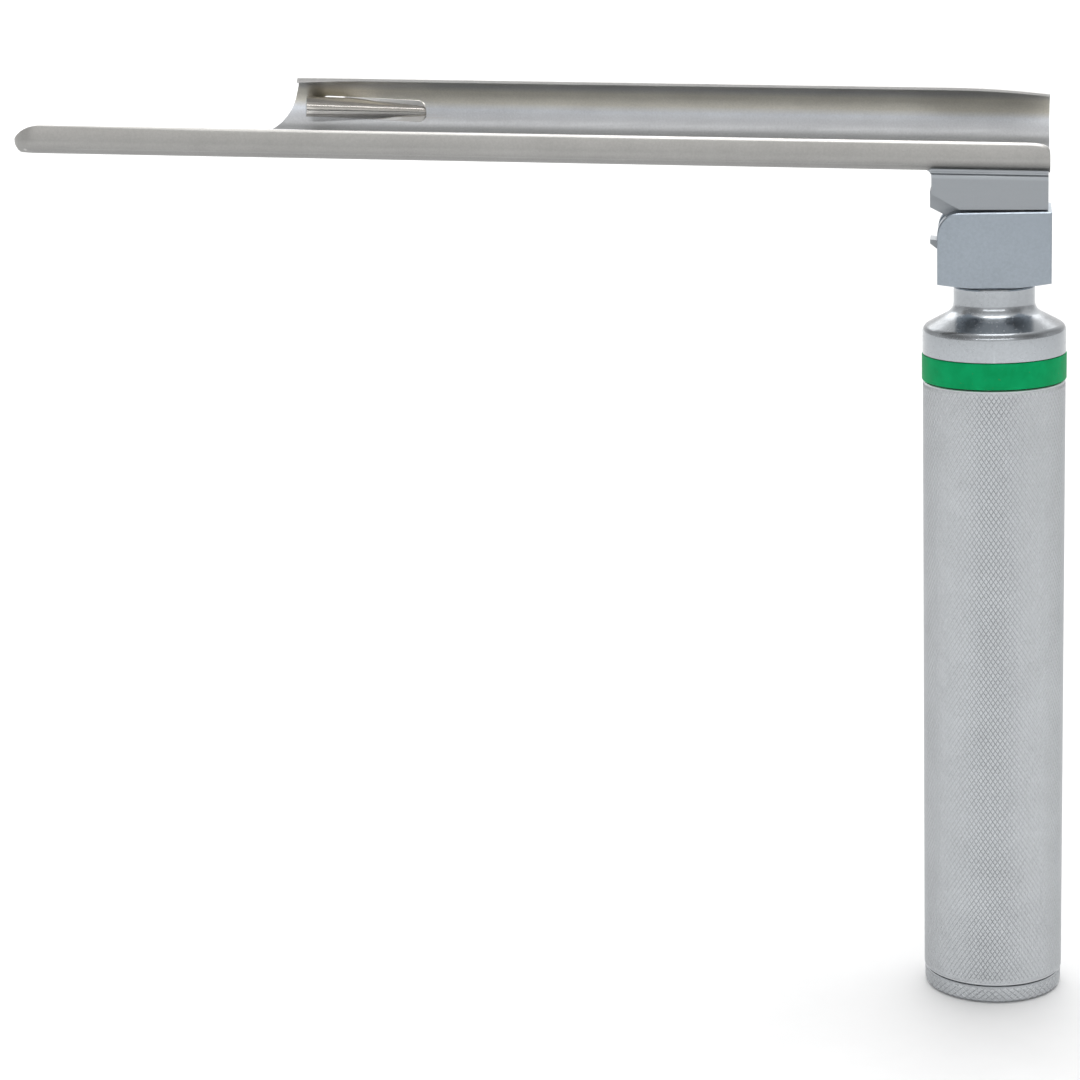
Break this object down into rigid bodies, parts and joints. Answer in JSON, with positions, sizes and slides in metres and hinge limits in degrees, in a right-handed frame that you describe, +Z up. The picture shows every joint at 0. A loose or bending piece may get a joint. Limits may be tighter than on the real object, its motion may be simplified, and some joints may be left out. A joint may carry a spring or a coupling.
{
  "type": "laryngoscope",
  "caption": "Straight-bladed laryngoscope with a light-guide tube, folding on a hook-on battery handle with a knurled grip, green ring, lamp plunger and screw cap.",
  "frame": {"origin": "centre of the flat underside of the screw cap, on the axis of the handle", "axes": "+Z up the axis of the handle; the tip of the opened blade points to -X and the trough of the blade is open towards -Y"},
  "size_m": [0.2121, 0.0284, 0.189],
  "materials": {
    "grip_steel": "diamond knurled, satin chromed",
    "satin_steel": "satin, finely blasted",
    "blade_steel": "satin stainless with polished edges",
    "bright_steel": "polished",
    "green_ring": "smooth, slightly glossy green",
    "seal_rubber": "matt black",
    "cell_can": "printed film over a metal can",
    "contact_brass": "turned",
    "insulator_plastic": "moulded, pale",
    "lamp_glass": "clear",
    "fibre_glass": "polished ends of packed glass fibres"
  },
  "bodies": {
    "handle": {"head_fork": "satin_steel", "neck_collar": "satin_steel", "hinge_pin": "bright_steel", "green_ring": "green_ring", "handle_tube": "grip_steel", "contact_insulator": "insulator_plastic", "contact_post": "contact_brass", "battery_upper": "cell_can", "battery_lower": "cell_can", "lamp_spring": "bright_steel"},
    "plunger": {"lamp_holder": "contact_brass", "lamp_bulb": "lamp_glass", "lamp_lens": "lamp_glass", "contact_rod": "contact_brass"},
    "cap_thrust": {"battery_spring": "bright_steel"},
    "cap": {"bottom_cap": "grip_steel", "cap_seal": "seal_rubber"},
    "blade": {"blade_spatula": "blade_steel", "blade_flange": "blade_steel", "blade_base": "satin_steel", "guide_ferrule": "bright_steel", "light_guide_tube": "bright_steel", "fibre_bundle": "fibre_glass", "detent_spring": "bright_steel"},
    "near_ball": {"detent_ball_near": "bright_steel"},
    "far_ball": {"detent_ball_far": "bright_steel"}
  },
  "joints": [
    {"name": "blade_fold", "type": "hinge", "parent": "handle", "child": "blade", "pos_m": [-0.0067, 0, 0.1564], "axis": [0, -1, 0], "range_deg": [0, 90]},
    {"name": "plunger_travel", "type": "slide", "parent": "handle", "child": "plunger", "axis": [0, 0, 1], "range_m": [0, 0.0015], "deforming": ["lamp_spring"]},
    {"name": "cap_travel", "type": "slide", "parent": "handle", "child": "cap_thrust", "axis": [0, 0, -1], "range_m": [0, 0.006], "deforming": ["battery_spring"]},
    {"name": "cap_turn", "type": "hinge", "parent": "cap_thrust", "child": "cap", "pos_m": [0, 0, 0], "axis": [0, 0, -1], "range_deg": [0, 1440]},
    {"name": "near_ball_travel", "type": "slide", "parent": "blade", "child": "near_ball", "axis": [0, 1, 0], "range_m": [0, 0.0002], "stiffness_N_per_m": 200, "springref_m": -0.001},
    {"name": "far_ball_travel", "type": "slide", "parent": "blade", "child": "far_ball", "axis": [0, -1, 0], "range_m": [0, 0.0002], "stiffness_N_per_m": 200, "springref_m": -0.001}
  ],
  "couplings": [
    {"joint": "plunger_travel", "follows": "blade_fold", "m_per_rad": 0.00095},
    {"joint": "cap_turn", "follows": "cap_travel", "rad_per_m": 4188}
  ]
}
